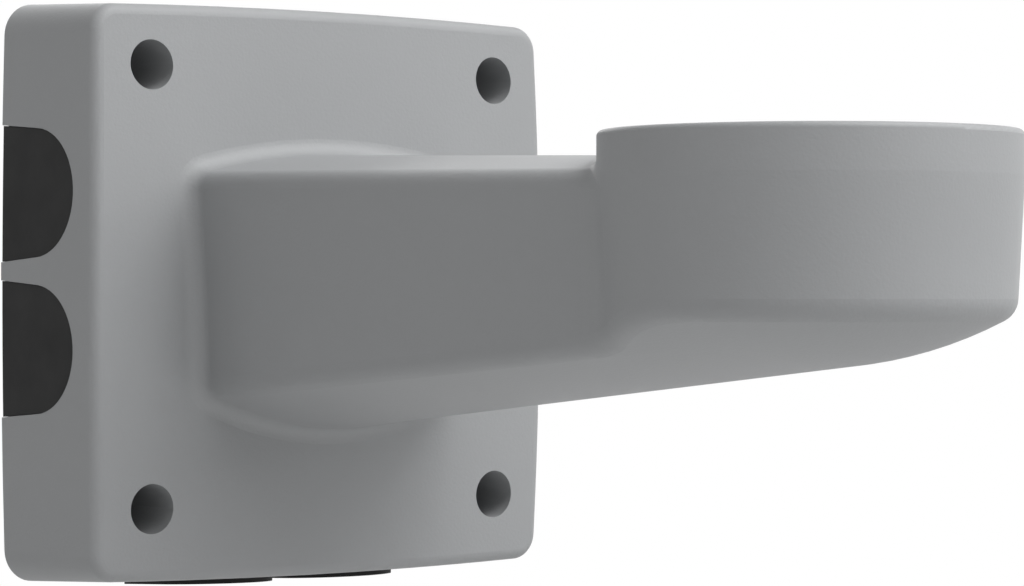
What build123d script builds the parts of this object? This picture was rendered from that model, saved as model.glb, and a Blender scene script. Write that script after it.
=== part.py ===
from build123d import *
import math
import os

# Wall bracket for a surveillance camera that stands on top of it: one hollow aluminium casting
# with a square wall box, a wide arm and an upright cup, with four rubber plugs in its cable
# notches and an earth terminal inside. Millimetres. The origin is the middle of the four wall
# bolts on the wall face, -Y points out of the wall and +Z is up. Heights in this file start at
# the middle of the box instead, and the last lines move each piece down by BOLT_LIFT.

# Wall box: bowed sides that lean inwards, and a domed front
BOX_SIZE = 202.0
BOX_DEPTH = 56.0
BOX_DRAFT = 2.75
SIDE_BOW = 1.7
FRONT_DOME = 2.5
CORNER_RADIUS = 11.5
FRONT_EDGE_RADIUS = 4.0
WALL = 5.0

# Wall bolts: four posts, each with a deep counterbore for the bolt's head
BOLT_SPACING = 150.0
BOLT_LIFT = 2.0
BOLT_HOLE = 9.0
COUNTERBORE = 17.0
BOLT_PAD = 15.0
POST_WALL = 4.0
WEB = 4.0
WEB_SHORT = 6.0

# Stiffening ribs on the back of the box's front
RIB = 4.0
RIB_HEIGHT = 5.0
RIB_SPACING = 56.0

# Cable notches, open towards the wall, and the rubber plugs that close them
NOTCH_RADIUS = 22.0
NOTCH_REACH = 41.2
NOTCH_FLARE = 4.4
SIDE_NOTCH_UPPER = 34.0
SIDE_NOTCH_LOWER = -19.3
BOTTOM_NOTCH_LEFT = -26.6
BOTTOM_NOTCH_RIGHT = 26.7
TONGUE = 2.5
TONGUE_DEPTH = 2.5
SIDE_PLUG_PROUD = -0.5
BOTTOM_PLUG_PROUD = 2.0
PLUG_FLANGE = 2.5
PLUG_OVERHANG = 1.5
PLUG_CLEARANCE = 0.2

# Arm: flat sides that spread towards the wall, fair into the cup and lean in downwards, under a
# crowned top that rises towards the wall
ARM_SETBACK = 14.1
ARM_SPREAD = 11.5
ARM_FAIRING = 25.0
FAIRING_STEP = 0.02
ARM_TOP = 41.3
ARM_RISE = 1.6
ARM_CROWN_RADIUS = 232.0
ARM_TOP_EDGE = 6.0
ARM_WALL = 5.0
ROOT_FILLET = 6.0

# Cup: the collar at the end of the arm, with the seat that the camera's base stands on
CUP_REACH = 291.9
CUP_RADIUS = 64.4
CUP_DRAFT = 3.0
RIM_TOP = 48.9
RIM_BAND = 14.0
RIM_EDGE = 1.8
CUP_WALL = 5.5
CUP_BLEND = 2.5
SEAT_DEPTH = 6.0
SEAT_WIDTH = 3.0

# Camera screws: posts inside the cup, level with the seat
CAMERA_SCREWS = 3
CAMERA_SCREW_CIRCLE = 98.0
CAMERA_SCREW_BORE = 5.0
CAMERA_SCREW_DEPTH = 18.0
CAMERA_POST = 14.0

# Belly: the rounded underside that the arm and the cup share
BELLY_RADIUS = 125.0
BELLY_LOW = -23.0
BELLY_RISE = 5.8
BELLY_EDGE = 8.0

# Earth terminal: a boss on the back of the box's front, with a screw and a washer
EARTH_INSET = 31.0
EARTH_Z = 10.0
EARTH_BOSS = 14.0
EARTH_BOSS_HEIGHT = 13.0
EARTH_THREAD = 5.0
EARTH_HOLE_DEPTH = 12.0
EARTH_SHANK = 10.0
EARTH_HEAD = 9.5
EARTH_HEAD_HEIGHT = 3.0
EARTH_SOCKET = 3.0
EARTH_SOCKET_DEPTH = 1.8
WASHER_SIZE = 11.0
WASHER_THICKNESS = 1.2
THREAD_CLEARANCE = 0.05

# Worked out from the values above
DOME_RADIUS = (BOX_SIZE / 2) ** 2 / (2 * FRONT_DOME)
BELLY_CENTRE = (0, -CUP_REACH, BELLY_LOW + BELLY_RADIUS)
SEAT = RIM_TOP - SEAT_DEPTH
BREAK = RIM_TOP - RIM_BAND
CEILING = BOX_SIZE / 2
CEILING_GROWTH = (CEILING - BREAK) * math.tan(math.radians(CUP_DRAFT))
EARTH_SEAT = BOX_DEPTH - WALL - EARTH_BOSS_HEIGHT

# A plane on each face of the box that has notches: x runs across the notches, y out from the wall
LEFT = Plane(origin=(0, 0, 0), x_dir=(0, 0, -1), z_dir=(-1, 0, 0))
BOTTOM = Plane(origin=(0, 0, 0), x_dir=(1, 0, 0), z_dir=(0, 0, -1))


def bowed_square(size, corner):
    """A square with sides that bow out and rounded corners."""
    reach = size / 2
    end = reach - SIDE_BOW
    side = ThreePointArc((-end, end), (0, reach), (end, end))
    sides = Curve() + [side.rotate(Axis.Z, turn) for turn in (0, 90, 180, 270)]
    square = make_face(sides)
    return fillet(square.vertices(), corner)


def box_blank(inset):
    """The box as a solid block, with every face but the wall face moved in by inset."""
    corner = max(CORNER_RADIUS - inset, WALL)
    outline = bowed_square(BOX_SIZE - 2 * inset, corner)
    block = extrude(Plane.XZ * outline, BOX_DEPTH + WALL, taper=BOX_DRAFT)
    radius = DOME_RADIUS - inset
    dome = Pos(0, radius + inset - BOX_DEPTH, 0) * Sphere(radius)
    return block & dome


def round_front(box, radius):
    """Rounds the edges where the domed front meets the sides."""
    return fillet(box.faces().filter_by(GeomType.SPHERE).edges(), radius)


def belly(inset):
    """A ball under the cup that runs on towards the wall as a tube, sloping down."""
    radius = BELLY_RADIUS - inset
    slope = math.radians(BELLY_RISE)
    towards_wall = Plane(origin=BELLY_CENTRE, z_dir=(0, math.cos(slope), -math.sin(slope)))
    tube = extrude(towards_wall * Circle(radius), CUP_REACH + BOX_DEPTH)
    return tube + Pos(*BELLY_CENTRE) * Sphere(radius)


def arm_outline(inset):
    """The arm seen from above, at the ceiling height, from inside the box to the cup's axis."""
    start = BOX_DEPTH / 2
    end_width = CUP_RADIUS - ARM_SETBACK + CEILING_GROWTH - inset
    root_width = end_width + ARM_SPREAD * (1 - start / CUP_REACH)
    root = [(-root_width, -start), (root_width, -start)]
    end = [(end_width, -CUP_REACH), (-end_width, -CUP_REACH)]
    return make_face(Polyline(*root, *end, close=True))


def crowned_block(outline, inset):
    """A block that leans in downwards from its outline at the ceiling, with the arm's top on it."""
    block = extrude(Plane.XY.offset(CEILING) * outline, -BOX_SIZE, taper=CUP_DRAFT)
    rise = math.radians(ARM_RISE)
    axis_start = (0, -CUP_REACH, ARM_TOP - ARM_CROWN_RADIUS)
    axis = Plane(origin=axis_start, z_dir=(0, math.cos(rise), math.sin(rise)))
    return block & extrude(axis * Circle(ARM_CROWN_RADIUS - inset), CUP_REACH, both=True)


def arm_block():
    """The arm with its fairings, and inside the cup a round core for them to run into."""
    core = Circle(CUP_RADIUS - FAIRING_STEP + CEILING_GROWTH)
    outline = arm_outline(0) + Pos(0, -CUP_REACH) * core
    corners = outline.vertices().filter_by_position(Axis.Y, -CUP_REACH, -BOX_DEPTH)
    block = crowned_block(fillet(corners, ARM_FAIRING), 0)
    crown = block.faces().sort_by(Axis.Z)[-1]
    long_edges = crown.edges().filter_by_position(Axis.Y, -CUP_REACH, -BOX_DEPTH)
    return fillet(long_edges, ARM_TOP_EDGE)


def turned(profile):
    """Turns a profile, given as points of radius and height, about the cup's axis."""
    face = make_face(Polyline(*profile, close=True))
    return Pos(0, -CUP_REACH, 0) * revolve(Plane.XZ * face, Axis.Z)


def cup_blank():
    """The cup's outer form: an upright band at the rim, and a drafted wall below it."""
    low = BELLY_LOW - BELLY_EDGE
    low_radius = CUP_RADIUS - (BREAK - low) * math.tan(math.radians(CUP_DRAFT))
    band = [(CUP_RADIUS, BREAK), (CUP_RADIUS, RIM_TOP)]
    return turned([(0, low), (low_radius, low), *band, (0, RIM_TOP)])


def limb():
    """The arm and the cup in one, rounded at every outer edge but the root."""
    arm = arm_block()
    cup = cup_blank()
    both = arm + cup
    meeting = new_edges(arm, cup, combined=both)
    both = fillet(meeting.filter_by(lambda edge: edge.center().Z > BREAK - ARM_TOP_EDGE), CUP_BLEND)
    under = belly(0)
    cut = both & under
    root = -BOX_DEPTH - ROOT_FILLET
    lower = new_edges(both, under, combined=cut).filter_by(lambda edge: edge.center().Y < root)
    cut = fillet(lower, BELLY_EDGE)
    rim = cut.edges().filter_by_position(Axis.Z, RIM_TOP - RIM_EDGE, RIM_TOP + RIM_EDGE)
    return fillet(rim, RIM_EDGE)


def outer_form():
    """The whole casting as a solid block: box and limb, with the root rounded between them."""
    box = round_front(box_blank(0), FRONT_EDGE_RADIUS)
    arm = limb()
    whole = box + arm
    return fillet(new_edges(box, arm, combined=whole), ROOT_FILLET)


def cup_hollow(grow):
    """The cup's hollow below the seat, or the same form grown outwards into its wall."""
    top = CUP_RADIUS - CUP_WALL - SEAT_WIDTH + grow
    low = top - (SEAT - BELLY_LOW) * math.tan(math.radians(CUP_DRAFT))
    return turned([(0, BELLY_LOW), (low, BELLY_LOW), (top, SEAT), (0, SEAT)])


def duct_and_cup_core():
    """The hollow of the arm and the cup, from the box to the seat and on to the rim."""
    duct = crowned_block(arm_outline(ARM_WALL), ARM_WALL)
    recess_radius = CUP_RADIUS - CUP_WALL
    recess = turned([(0, SEAT), (recess_radius, SEAT), (recess_radius, RIM_TOP), (0, RIM_TOP)])
    return ((duct + cup_hollow(0)) & belly(ARM_WALL)) + recess


def camera_screw_places():
    """Where the camera's screws stand, seen from above, with one at the tip of the cup."""
    ring = PolarLocations(CAMERA_SCREW_CIRCLE / 2, CAMERA_SCREWS, start_angle=-90)
    return [Pos(0, -CUP_REACH, BELLY_LOW) * place for place in ring]


def camera_posts():
    """Posts on the cup's floor, each joined to the wall behind it, level with the seat."""
    to_wall = Rectangle(CUP_RADIUS - CAMERA_SCREW_CIRCLE / 2, CAMERA_POST, align=(Align.MIN, Align.CENTER))
    section = Circle(CAMERA_POST / 2) + to_wall
    posts = Part() + [place * extrude(section, SEAT - BELLY_LOW) for place in camera_screw_places()]
    return posts & cup_hollow(CUP_WALL / 2) & belly(ARM_WALL / 2)


def camera_screw_bores():
    """Blind bores down into the posts, to be threaded."""
    bore = Pos(0, 0, SEAT - BELLY_LOW) * extrude(Circle(CAMERA_SCREW_BORE / 2), -CAMERA_SCREW_DEPTH)
    return Part() + [place * bore for place in camera_screw_places()]


def bolt_places():
    """The four wall bolts on the wall face, with the way from each to its own corner."""
    half = BOLT_SPACING / 2
    return [(Plane.XZ * Pos(x * half, z * half + BOLT_LIFT), x, z) for x in (-1, 1) for z in (-1, 1)]


def bolt_post(x, z):
    """A post as deep as the box, with a web to each of the two sides that it stands near."""
    post = extrude(Circle(COUNTERBORE / 2 + POST_WALL), BOX_DEPTH)
    reach = (BOX_SIZE - BOLT_SPACING) / 2
    across = Pos(x * reach / 2, 0) * Rectangle(reach, WEB)
    upright = Pos(0, z * reach / 2) * Rectangle(WEB, reach)
    webs = extrude(Pos(0, 0, WEB_SHORT) * (across + upright), BOX_DEPTH - WEB_SHORT)
    return post + webs


def bolt_bore():
    """The bolt's hole and the counterbore, cut from the wall face right through the front."""
    hole = extrude(Circle(BOLT_HOLE / 2), BOX_DEPTH)
    counterbore = Pos(0, 0, BOLT_PAD) * extrude(Circle(COUNTERBORE / 2), BOX_DEPTH)
    return hole + counterbore


def front_ribs():
    """Two upright and two level ribs behind the front, cut through later by the arm's duct."""
    upright = Rectangle(RIB, BOX_SIZE)
    level = Rectangle(BOX_SIZE, RIB)
    half = RIB_SPACING / 2
    grid = Sketch() + [Pos(side * half, 0) * upright for side in (-1, 1)]
    grid += [Pos(0, side * half) * level for side in (-1, 1)]
    return extrude(Plane.XZ.offset(BOX_DEPTH - WALL - RIB_HEIGHT) * grid, RIB_HEIGHT + WALL)


def earth_axis(distance):
    """A plane at the earth terminal, at a distance from the wall face, that faces the wall."""
    return Plane(origin=(BOX_SIZE / 2 - EARTH_INSET, -distance, EARTH_Z), z_dir=(0, 1, 0))


def earth_boss():
    """The boss that the earth screw goes into."""
    return extrude(earth_axis(BOX_DEPTH) * Circle(EARTH_BOSS / 2), BOX_DEPTH - EARTH_SEAT)


def notch_prism(face, centre, grow):
    """A round-ended notch, grown outwards by grow, through the side of the box that face is on."""
    radius = NOTCH_RADIUS + grow
    depth = NOTCH_REACH - NOTCH_RADIUS
    flare = math.radians(NOTCH_FLARE)
    side = radius * math.cos(flare)
    tangent = depth + radius * math.sin(flare)
    mouth = side + tangent * math.tan(flare)
    arc = ThreePointArc((-side, tangent), (0, depth + radius), (side, tangent))
    sides = Polyline((side, tangent), (mouth, 0), (-mouth, 0), (-side, tangent))
    outline = Pos(centre, 0) * make_face([arc, sides])
    inner = BOX_SIZE / 2 - NOTCH_REACH / 2
    return extrude(face * Pos(0, 0, inner) * outline, NOTCH_REACH)


def notch(face, centre):
    """What a notch takes out of the casting: a pocket from outside, and a narrower way through."""
    pocket = notch_prism(face, centre, 0) - box_blank(TONGUE_DEPTH)
    return pocket + notch_prism(face, centre, -TONGUE)


def casting():
    """The one-piece aluminium body."""
    fittings = front_ribs() + earth_boss()
    fittings += [place * bolt_post(x, z) for place, x, z in bolt_places()]
    body = outer_form() - round_front(box_blank(WALL), FRONT_EDGE_RADIUS)
    body += fittings & box_blank(WALL / 2)
    body -= duct_and_cup_core()
    body += camera_posts()
    body -= camera_screw_bores()
    body -= [place * bolt_bore() for place, x, z in bolt_places()]
    body -= [notch(LEFT, -height) for height in (SIDE_NOTCH_UPPER, SIDE_NOTCH_LOWER)]
    body -= [notch(BOTTOM, place) for place in (BOTTOM_NOTCH_LEFT, BOTTOM_NOTCH_RIGHT)]
    return body - extrude(earth_axis(EARTH_SEAT) * Circle(EARTH_THREAD / 2), -EARTH_HOLE_DEPTH)


def plug(face, centre, proud):
    """A rubber plug: an outer flange in the notch's pocket, a waist, and a flange behind the wall."""
    gap = PLUG_CLEARANCE
    flange = (box_blank(-proud) - box_blank(TONGUE_DEPTH)) & notch_prism(face, centre, -gap)
    waist = (box_blank(TONGUE_DEPTH) - box_blank(WALL)) & notch_prism(face, centre, -TONGUE - gap)
    inner = (box_blank(WALL) - box_blank(WALL + PLUG_FLANGE)) & notch_prism(face, centre, PLUG_OVERHANG)
    return flange + waist + inner


def earth_washer():
    """A plain washer on the boss."""
    ring = Circle(WASHER_SIZE / 2) - Circle(EARTH_THREAD / 2 + PLUG_CLEARANCE)
    return extrude(earth_axis(EARTH_SEAT) * ring, WASHER_THICKNESS)


def earth_screw():
    """A pan-head screw with a hexagon socket, its head on the washer."""
    under_head = earth_axis(EARTH_SEAT - WASHER_THICKNESS)
    head = extrude(under_head * Circle(EARTH_HEAD / 2), EARTH_HEAD_HEIGHT)
    head = fillet(head.edges().group_by(Axis.Y)[-1], EARTH_HEAD_HEIGHT / 3)
    shank = extrude(under_head * Circle(EARTH_THREAD / 2 - THREAD_CLEARANCE), -EARTH_SHANK)
    top = earth_axis(EARTH_SEAT - WASHER_THICKNESS - EARTH_HEAD_HEIGHT)
    socket = extrude(top * RegularPolygon(EARTH_SOCKET / 2, 6, major_radius=False), -EARTH_SOCKET_DEPTH)
    return head + shank - socket


pieces = {
    "bracket_casting": casting(),
    "side_plug_upper": plug(LEFT, -SIDE_NOTCH_UPPER, SIDE_PLUG_PROUD),
    "side_plug_lower": plug(LEFT, -SIDE_NOTCH_LOWER, SIDE_PLUG_PROUD),
    "bottom_plug_left": plug(BOTTOM, BOTTOM_NOTCH_LEFT, BOTTOM_PLUG_PROUD),
    "bottom_plug_right": plug(BOTTOM, BOTTOM_NOTCH_RIGHT, BOTTOM_PLUG_PROUD),
    "earth_washer": earth_washer(),
    "earth_screw": earth_screw(),
}

os.makedirs("parts", exist_ok=True)
for name, piece in pieces.items():
    placed = Pos(0, 0, -BOLT_LIFT) * piece
    placed.label = name
    export_step(placed, f"parts/{name}.step")
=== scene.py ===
import math

import bmesh
import bpy
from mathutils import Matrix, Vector

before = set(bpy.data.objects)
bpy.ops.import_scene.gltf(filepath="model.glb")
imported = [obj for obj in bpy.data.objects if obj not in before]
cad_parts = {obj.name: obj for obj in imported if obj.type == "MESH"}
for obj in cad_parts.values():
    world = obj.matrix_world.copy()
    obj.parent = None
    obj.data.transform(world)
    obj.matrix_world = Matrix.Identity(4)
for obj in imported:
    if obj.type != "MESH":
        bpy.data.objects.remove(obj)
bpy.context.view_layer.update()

scene = bpy.context.scene

# The view: the bracket's left front corner comes forward, with the arm pointing to the right.
# The eye is level with the middle of the wall box, a little over a metre away.
EYE = Vector((-0.80226, -1.10394, -0.00277))
EYE_TURN = math.radians(40.14)
EYE_PITCH = math.radians(0.03)
LENS = 132.6
SENSOR = 36.0
FARTHEST_SEEN = 50.0

lens = bpy.data.cameras.new("eye")
lens.sensor_width = SENSOR
lens.lens = LENS
lens.clip_end = FARTHEST_SEEN
eye = bpy.data.objects.new("eye", lens)
eye.location = EYE
eye.rotation_euler = (math.pi / 2 + EYE_PITCH, 0.0, -EYE_TURN)
scene.collection.objects.link(eye)
scene.camera = eye
scene.view_settings.view_transform = "Standard"

# The casting: aluminium, die-cast in one piece, blasted and then powder-coated a middle grey.
# The coat is matt, with the faint ripple that powder leaves when it flows out in the oven.
COAT_GREY = (0.328, 0.335, 0.342)
COAT_ROUGHNESS = 0.5
COAT_ROUGHNESS_VARIES = 0.03
COAT_GLOSS = 0.5
COAT_RIPPLE_PER_M = 900.0
COAT_RIPPLE_DEPTH = 0.00006
COAT_GRAIN_PER_M = 3800.0
COAT_GRAIN_DEPTH = 0.000016
COAT_PATCH_PER_M = 14.0
RIPPLE_DETAIL = 1.0
GRAIN_DETAIL = 3.0
GRAIN_COARSENESS = 0.6
PATCH_DETAIL = 3.0
PATCH_VARIES = 0.02
SPECKLE_VARIES = 0.02
NOISE_LOW = 0.25
NOISE_HIGH = 0.75
SKIN_INPUTS = ("Ripple", "Grain", "Patch", "Ripple Depth", "Grain Depth")
SKIN_OUTPUTS = ("Height", "Tone", "Wear")


def noise(tree, vector, scale, detail, roughness=0.5):
    """A noise texture whose scale comes from a socket; gives its value."""
    node = tree.nodes.new("ShaderNodeTexNoise")
    node.inputs["Detail"].default_value = detail
    node.inputs["Roughness"].default_value = roughness
    tree.links.new(vector, node.inputs["Vector"])
    tree.links.new(scale, node.inputs["Scale"])
    return node.outputs["Fac"]


def spread(tree, value, middle, varies):
    """Turns a noise value, which lies about a half, into one that varies about the middle."""
    node = tree.nodes.new("ShaderNodeMapRange")
    node.inputs["From Min"].default_value = NOISE_LOW
    node.inputs["From Max"].default_value = NOISE_HIGH
    node.inputs["To Min"].default_value = middle - varies
    node.inputs["To Max"].default_value = middle + varies
    tree.links.new(value, node.inputs["Value"])
    return node.outputs["Result"]


def maths(tree, operation, first, second):
    """One step of arithmetic on the values of two sockets."""
    node = tree.nodes.new("ShaderNodeMath")
    node.operation = operation
    tree.links.new(first, node.inputs[0])
    tree.links.new(second, node.inputs[1])
    return node.outputs["Value"]


def make_skin():
    """The surface that all the pieces share: a ripple, a grain, and slow patches in the tone."""
    group = bpy.data.node_groups.new("skin", "ShaderNodeTree")
    group.interface.new_socket(name="Vector", in_out="INPUT", socket_type="NodeSocketVector")
    for label in SKIN_INPUTS:
        group.interface.new_socket(name=label, in_out="INPUT", socket_type="NodeSocketFloat")
    for label in SKIN_OUTPUTS:
        group.interface.new_socket(name=label, in_out="OUTPUT", socket_type="NodeSocketFloat")
    given = group.nodes.new("NodeGroupInput").outputs
    wanted = group.nodes.new("NodeGroupOutput").inputs
    ripple = noise(group, given["Vector"], given["Ripple"], RIPPLE_DETAIL)
    grain = noise(group, given["Vector"], given["Grain"], GRAIN_DETAIL, GRAIN_COARSENESS)
    patch = noise(group, given["Vector"], given["Patch"], PATCH_DETAIL)
    waves = maths(group, "MULTIPLY", ripple, given["Ripple Depth"])
    bumps = maths(group, "MULTIPLY", grain, given["Grain Depth"])
    shade = spread(group, patch, 1.0, PATCH_VARIES)
    speckle = spread(group, grain, 0.0, SPECKLE_VARIES)
    group.links.new(maths(group, "ADD", waves, bumps), wanted["Height"])
    group.links.new(maths(group, "ADD", shade, speckle), wanted["Tone"])
    group.links.new(patch, wanted["Wear"])
    return group


skin = make_skin()


def new_material(name):
    """A material with a Principled BSDF and the place of each point on the object."""
    material = bpy.data.materials.new(name)
    material.use_nodes = True
    tree = material.node_tree
    shader = tree.nodes["Principled BSDF"]
    place = tree.nodes.new("ShaderNodeTexCoord").outputs["Object"]
    return material, tree, shader, place


def toned(tree, colour, tone):
    """The colour made lighter and darker by the tone."""
    node = tree.nodes.new("ShaderNodeVectorMath")
    node.operation = "SCALE"
    node.inputs[0].default_value = colour
    tree.links.new(tone, node.inputs["Scale"])
    return node.outputs["Vector"]


def bumped(tree, shader, height):
    """Sends a height in metres to the shader as a bump."""
    node = tree.nodes.new("ShaderNodeBump")
    node.inputs["Strength"].default_value = 1.0
    node.inputs["Distance"].default_value = 1.0
    tree.links.new(height, node.inputs["Height"])
    tree.links.new(node.outputs["Normal"], shader.inputs["Normal"])


def skinned(name, colour, roughness, varies, relief):
    """A material with the shared skin; relief holds the values for the skin's own inputs, in order."""
    material, tree, shader, place = new_material(name)
    surface = tree.nodes.new("ShaderNodeGroup")
    surface.node_tree = skin
    tree.links.new(place, surface.inputs["Vector"])
    for label, value in zip(SKIN_INPUTS, relief):
        surface.inputs[label].default_value = value
    tree.links.new(toned(tree, colour, surface.outputs["Tone"]), shader.inputs["Base Color"])
    rough = spread(tree, surface.outputs["Wear"], roughness, varies)
    tree.links.new(rough, shader.inputs["Roughness"])
    bumped(tree, shader, surface.outputs["Height"])
    return material, shader


def dress(node, material):
    """Gives a node of the frame its material."""
    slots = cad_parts[node].data.materials
    slots.clear()
    slots.append(material)


coat_relief = COAT_RIPPLE_PER_M, COAT_GRAIN_PER_M, COAT_PATCH_PER_M, COAT_RIPPLE_DEPTH, COAT_GRAIN_DEPTH
coat, shader = skinned("powder_coat", COAT_GREY, COAT_ROUGHNESS, COAT_ROUGHNESS_VARIES, coat_relief)
shader.inputs["Specular IOR Level"].default_value = COAT_GLOSS
dress("bracket_casting", coat)

# The plugs: four black rubber mouldings that close the cable notches and grip the casting's edge.
# The rubber is matt, with the spark-eroded grain of the mould and slow patches in its sheen.
RUBBER_BLACK = (0.012, 0.012, 0.0122)
RUBBER_ROUGHNESS = 0.62
RUBBER_ROUGHNESS_VARIES = 0.06
RUBBER_GLOSS = 0.22
RUBBER_RIPPLE_PER_M = 240.0
RUBBER_RIPPLE_DEPTH = 0.00005
RUBBER_GRAIN_PER_M = 2600.0
RUBBER_GRAIN_DEPTH = 0.00003
RUBBER_PATCH_PER_M = 60.0

rubber_relief = (RUBBER_RIPPLE_PER_M, RUBBER_GRAIN_PER_M, RUBBER_PATCH_PER_M,
                 RUBBER_RIPPLE_DEPTH, RUBBER_GRAIN_DEPTH)
rubber, shader = skinned("moulded_rubber", RUBBER_BLACK, RUBBER_ROUGHNESS, RUBBER_ROUGHNESS_VARIES,
                        rubber_relief)
shader.inputs["Specular IOR Level"].default_value = RUBBER_GLOSS
for plug in ("side_plug_upper", "side_plug_lower", "bottom_plug_left", "bottom_plug_right"):
    dress(plug, rubber)

# The earth terminal: a stainless pan-head screw and a plain washer on a boss inside the wall box.
# Both are bare metal, with the fine marks that turning and punching leave.
STEEL = (0.62, 0.61, 0.6)
STEEL_ROUGHNESS = 0.28
STEEL_ROUGHNESS_VARIES = 0.06
STEEL_RIPPLE_PER_M = 1600.0
STEEL_RIPPLE_DEPTH = 0.000004
STEEL_GRAIN_PER_M = 9000.0
STEEL_GRAIN_DEPTH = 0.000002
STEEL_PATCH_PER_M = 300.0

steel_relief = (STEEL_RIPPLE_PER_M, STEEL_GRAIN_PER_M, STEEL_PATCH_PER_M,
                STEEL_RIPPLE_DEPTH, STEEL_GRAIN_DEPTH)
steel, shader = skinned("bare_steel", STEEL, STEEL_ROUGHNESS, STEEL_ROUGHNESS_VARIES, steel_relief)
shader.inputs["Metallic"].default_value = 1.0
for piece in ("earth_washer", "earth_screw"):
    dress(piece, steel)

# The studio: a pale floor some way under the bracket, which hangs as it would on its wall, and
# large soft lamps. The floor fades to the white of the surroundings before its edge shows.
FLOOR_HEIGHT = -0.42
FLOOR_RADIUS = 4.0
FLOOR_SIDES = 96
FLOOR_COLOUR = (0.75, 0.75, 0.75, 1.0)
FLOOR_ROUGHNESS = 0.9
FADE_START = 0.8
FADE_END = 2.6
WHITE = (1.0, 1.0, 1.0, 1.0)
AMBIENT = 0.2
AIM = Vector((0.0, -0.15, 0.0))
LAMP_DISTANCE = 2.0
LAMPS = {
    "front": (0.0, 38.0, 1.6, 16.2),
    "front_right": (35.0, 30.0, 1.6, 12.2),
    "high_right": (60.0, 60.0, 1.6, 14.8),
    "high_front": (10.0, 60.0, 0.6, 7.5),
    "left": (-105.0, -5.0, 1.6, 5.0),
    "back": (160.0, 15.0, 1.2, 7.0),
}


def put_lamp(name, turn, lift, size, power):
    """A square soft lamp that looks at the bracket; a turn of 0 is straight in front of the box."""
    lamp = bpy.data.lights.new(name, "AREA")
    lamp.shape = "SQUARE"
    lamp.size = size
    lamp.energy = power
    holder = bpy.data.objects.new(name, lamp)
    turn, lift = math.radians(turn), math.radians(lift)
    level = math.cos(lift)
    out = Vector((math.sin(turn) * level, -math.cos(turn) * level, math.sin(lift)))
    holder.location = AIM + out * LAMP_DISTANCE
    holder.rotation_euler = out.to_track_quat("Z", "Y").to_euler()
    holder.visible_camera = False
    scene.collection.objects.link(holder)


def seen_directly(tree):
    """One where a ray comes from the eye, a reflection or a clear body, and nought elsewhere."""
    path = tree.nodes.new("ShaderNodeLightPath").outputs
    either = maths(tree, "MAXIMUM", path["Is Camera Ray"], path["Is Glossy Ray"])
    return maths(tree, "MAXIMUM", either, path["Is Transmission Ray"])


def white_surroundings():
    """A world that lights the object evenly and looks white."""
    world = bpy.data.worlds.new("surroundings")
    world.use_nodes = True
    scene.world = world
    tree = world.node_tree
    shine = tree.nodes["Background"]
    shine.inputs["Color"].default_value = WHITE
    strength = tree.nodes.new("ShaderNodeMapRange")
    strength.inputs["To Min"].default_value = AMBIENT
    strength.inputs["To Max"].default_value = 1.0
    tree.links.new(seen_directly(tree), strength.inputs["Value"])
    tree.links.new(strength.outputs["Result"], shine.inputs["Strength"])


def floor_material():
    """Pale and matt under the bracket, and white further out."""
    material, tree, shader, place = new_material("floor")
    shader.inputs["Base Color"].default_value = FLOOR_COLOUR
    shader.inputs["Roughness"].default_value = FLOOR_ROUGHNESS
    distance = tree.nodes.new("ShaderNodeVectorMath")
    distance.operation = "LENGTH"
    tree.links.new(place, distance.inputs[0])
    fade = tree.nodes.new("ShaderNodeMapRange")
    fade.interpolation_type = "SMOOTHSTEP"
    fade.inputs["From Min"].default_value = FADE_START
    fade.inputs["From Max"].default_value = FADE_END
    tree.links.new(distance.outputs["Value"], fade.inputs["Value"])
    glow = tree.nodes.new("ShaderNodeEmission")
    share = maths(tree, "MULTIPLY", fade.outputs["Result"], seen_directly(tree))
    mix = tree.nodes.new("ShaderNodeMixShader")
    tree.links.new(share, mix.inputs["Fac"])
    tree.links.new(shader.outputs["BSDF"], mix.inputs[1])
    tree.links.new(glow.outputs["Emission"], mix.inputs[2])
    tree.links.new(mix.outputs["Shader"], tree.nodes["Material Output"].inputs["Surface"])
    return material


def lay_floor():
    """A round floor below the bracket."""
    shape = bmesh.new()
    bmesh.ops.create_circle(shape, cap_ends=True, segments=FLOOR_SIDES, radius=FLOOR_RADIUS)
    mesh = bpy.data.meshes.new("floor")
    shape.to_mesh(mesh)
    shape.free()
    mesh.materials.append(floor_material())
    floor = bpy.data.objects.new("floor", mesh)
    floor.location = (0.0, 0.0, FLOOR_HEIGHT)
    scene.collection.objects.link(floor)


for name, values in LAMPS.items():
    put_lamp(name, *values)
white_surroundings()
lay_floor()
